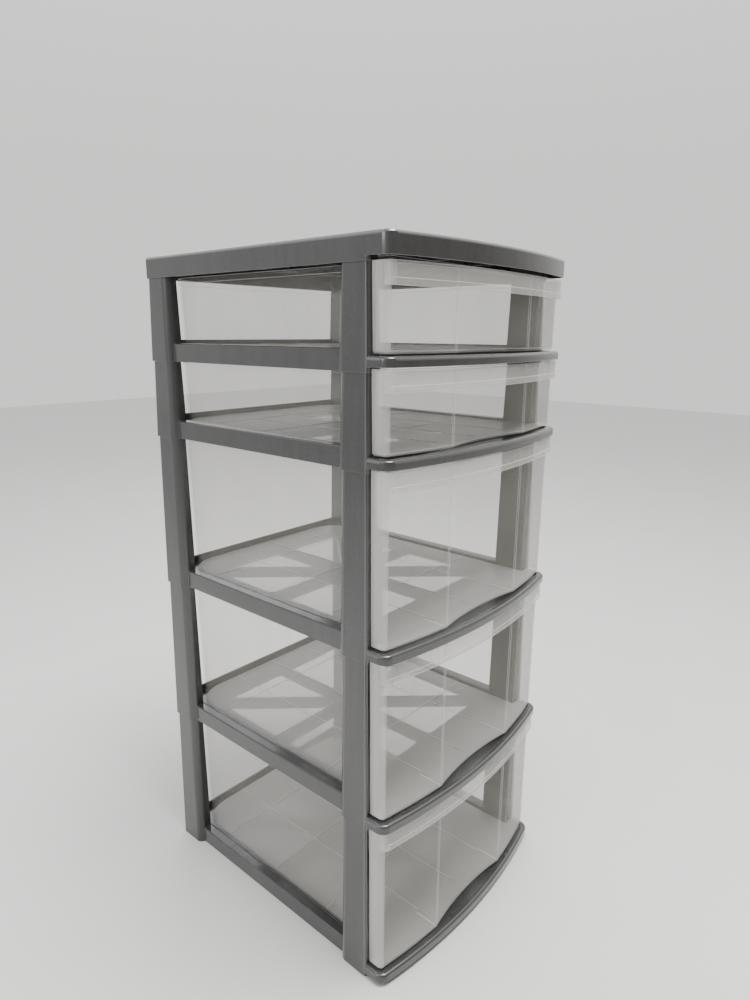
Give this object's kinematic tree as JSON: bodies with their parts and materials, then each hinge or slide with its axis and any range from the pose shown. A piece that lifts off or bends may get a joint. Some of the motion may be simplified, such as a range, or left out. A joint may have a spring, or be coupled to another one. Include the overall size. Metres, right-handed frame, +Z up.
{
  "type": "drawer tower",
  "caption": "Free-standing plastic tower of stacked tier frames and a flat cover, with bowed see-through drawers that slide out by a full-width grip band.",
  "frame": {"origin": "middle of the footprint, on the floor", "axes": "+Z up, drawers open towards -Y, +X to the right of someone facing the drawers"},
  "size_m": [0.314, 0.38, 0.76],
  "materials": {
    "frame_plastic": "glossy dark silver-grey plastic with fine metallic flake",
    "drawer_plastic": "frosted translucent natural polypropylene"
  },
  "bodies": {
    "frame": {"top_cover": "frame_plastic", "tier_frame_1": "frame_plastic", "tier_frame_2": "frame_plastic", "tier_frame_3": "frame_plastic", "tier_frame_4": "frame_plastic", "tier_frame_5": "frame_plastic"},
    "drawer_1_body": {"drawer_1": "drawer_plastic"},
    "drawer_2_body": {"drawer_2": "drawer_plastic"},
    "drawer_3_body": {"drawer_3": "drawer_plastic"},
    "drawer_4_body": {"drawer_4": "drawer_plastic"},
    "drawer_5_body": {"drawer_5": "drawer_plastic"}
  },
  "joints": [
    {"name": "drawer_1_slide", "type": "slide", "parent": "frame", "child": "drawer_1_body", "axis": [0, -1, 0], "range_m": [0, 0.27]},
    {"name": "drawer_2_slide", "type": "slide", "parent": "frame", "child": "drawer_2_body", "axis": [0, -1, 0], "range_m": [0, 0.27]},
    {"name": "drawer_3_slide", "type": "slide", "parent": "frame", "child": "drawer_3_body", "axis": [0, -1, 0], "range_m": [0, 0.27]},
    {"name": "drawer_4_slide", "type": "slide", "parent": "frame", "child": "drawer_4_body", "axis": [0, -1, 0], "range_m": [0, 0.27]},
    {"name": "drawer_5_slide", "type": "slide", "parent": "frame", "child": "drawer_5_body", "axis": [0, -1, 0], "range_m": [0, 0.27]}
  ]
}
